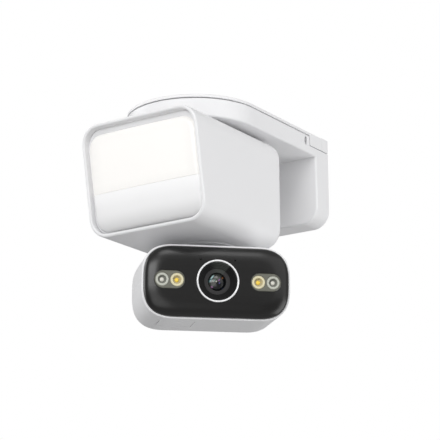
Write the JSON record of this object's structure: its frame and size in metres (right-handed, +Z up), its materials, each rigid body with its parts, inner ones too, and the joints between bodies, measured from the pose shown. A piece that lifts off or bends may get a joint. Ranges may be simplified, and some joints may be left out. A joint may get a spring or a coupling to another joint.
{
  "type": "floodlight security camera",
  "caption": "Wall- or eave-mounted floodlight with a raked box lamp under a bracket arm and a pan-and-tilt camera head below it.",
  "frame": {"origin": "centre of the wall post's back face, on the wall", "axes": "+Z up; +Y into the wall; the floodlight faces -Y; +X to the right as seen from the front"},
  "size_m": [0.1207, 0.1769, 0.1594],
  "materials": {
    "white_shell": "fine satin moulded shell",
    "white_plate": "fine satin moulded plate",
    "screw_steel": "plated screw",
    "dark_screw": "blackened screw",
    "bearing_plastic": "acetal bearing",
    "friction_pad": "friction pad",
    "spring_steel": "spring steel",
    "machined_metal": "turned metal",
    "seal_rubber": "silicone seal",
    "frame_plastic": "pale grey moulding",
    "warm_diffuser": "opal diffuser, glowing warm white",
    "opal_window": "glossy opal window",
    "reflector_white": "white reflector",
    "led_phosphor": "yellow phosphor",
    "led_clear": "clear emitter",
    "light_board": "white solder mask on aluminium",
    "circuit_board": "green solder mask",
    "cell_wrap": "shrink wrap",
    "sensor_can": "nickel can",
    "antenna_copper": "copper flex",
    "socket_metal": "stamped metal",
    "cover_rubber": "pale silicone door",
    "button_plastic": "button cap",
    "gear_plastic": "natural acetal",
    "gear_brass": "cut brass",
    "cable_jacket": "cable jacket",
    "motor_can": "motor can",
    "face_gloss": "polished black face",
    "bright_ring": "bright ring",
    "barrel_black": "stepped black barrel",
    "lens_glass": "coated glass",
    "window_grey": "smoky clear window",
    "reflector_cream": "clear collimator ring",
    "speaker_black": "speaker frame"
  },
  "bodies": {
    "bracket": {"wall_plate": "white_plate", "eave_plate": "white_plate", "bracket_shell": "white_shell", "plate_screws": "screw_steel", "lock_screw": "dark_screw", "swivel_bush": "bearing_plastic", "friction_washer": "friction_pad", "spring_washer": "spring_steel"},
    "lamp": {"lamp_housing": "white_shell", "swivel_spindle": "machined_metal", "swivel_nut": "machined_metal", "spindle_screws": "screw_steel", "lamp_gasket": "seal_rubber", "lens_frame": "frame_plastic", "light_diffuser": "warm_diffuser", "sensor_window": "opal_window", "frame_screws": "screw_steel", "flood_reflector": "reflector_white", "flood_leds": "led_phosphor", "flood_board": "light_board", "heat_sink": "machined_metal", "motion_sensors": "sensor_can", "sensor_board": "circuit_board", "battery_holder": "bearing_plastic", "battery_cells": "cell_wrap", "main_board": "circuit_board", "wifi_antenna": "antenna_copper", "charge_port": "socket_metal", "pan_bush": "bearing_plastic", "pan_motor": "motor_can", "motor_screws": "screw_steel"},
    "port_cover": {"port_cover": "cover_rubber"},
    "power_button": {"power_button": "button_plastic"},
    "pan_pinion": {"pan_pinion": "gear_brass"},
    "neck": {"neck": "white_shell", "pan_gear": "gear_plastic", "pan_clip": "spring_steel", "neck_cable": "cable_jacket", "tilt_axle": "machined_metal", "tilt_gear": "gear_plastic"},
    "head": {"head_shell": "white_shell", "face_gasket": "seal_rubber", "face_plate": "face_gloss", "lens_ring": "bright_ring", "lens_barrel": "barrel_black", "front_lens": "lens_glass", "image_board": "circuit_board", "left_led_window": "window_grey", "right_led_window": "window_grey", "led_reflectors": "reflector_cream", "white_leds": "led_phosphor", "infrared_leds": "led_clear", "led_boards": "circuit_board", "head_board": "circuit_board", "speaker": "speaker_black", "tilt_motor": "motor_can", "card_socket": "socket_metal"},
    "tilt_pinion": {"tilt_pinion": "gear_brass"},
    "reset_button": {"reset_button": "button_plastic"},
    "card_flap": {"card_flap": "white_shell"}
  },
  "joints": [
    {"name": "lamp_swivel", "type": "hinge", "parent": "bracket", "child": "lamp", "pos_m": [0, -0.1042, 0.0172], "axis": [0, 0, 1], "range_deg": [-45, 45]},
    {"name": "port_cover_hinge", "type": "hinge", "parent": "lamp", "child": "port_cover", "pos_m": [-0.02, -0.0668, -0.0244], "axis": [-1, 0, 0], "range_deg": [0, 90]},
    {"name": "power_press", "type": "slide", "parent": "lamp", "child": "power_button", "axis": [0, -1, 0], "range_m": [0, 0.0006], "stiffness_N_per_m": 600, "springref_m": -0.0005},
    {"name": "pan", "type": "hinge", "parent": "lamp", "child": "neck", "pos_m": [0, -0.0922, -0.0645], "axis": [0, 0, 1], "range_deg": [-218.5, 131.5]},
    {"name": "pan_pinion_spin", "type": "hinge", "parent": "lamp", "child": "pan_pinion", "pos_m": [0.02255, -0.0922, -0.0532], "axis": [0, 0, 1], "range_deg": [-526, 874]},
    {"name": "tilt", "type": "hinge", "parent": "neck", "child": "head", "pos_m": [0, -0.0922, -0.0963], "axis": [0.7254, 0.6884, 0], "range_deg": [-4.2, 85.8]},
    {"name": "tilt_pinion_spin", "type": "hinge", "parent": "head", "child": "tilt_pinion", "pos_m": [0.01915, -0.08623, -0.10656], "axis": [0.7254, 0.6884, 0], "range_deg": [-8.4, 171.6]},
    {"name": "reset_press", "type": "slide", "parent": "head", "child": "reset_button", "axis": [0.0504, -0.0531, 0.9973], "range_m": [0, 0.0005], "stiffness_N_per_m": 300, "springref_m": -0.0006},
    {"name": "card_flap_hinge", "type": "hinge", "parent": "head", "child": "card_flap", "pos_m": [-0.0113, -0.11661, -0.1223], "axis": [0.7254, 0.6884, 0], "range_deg": [0, 80]}
  ],
  "couplings": [
    {"joint": "pan_pinion_spin", "follows": "pan", "ratio": -4},
    {"joint": "tilt_pinion_spin", "follows": "tilt", "ratio": 2}
  ]
}
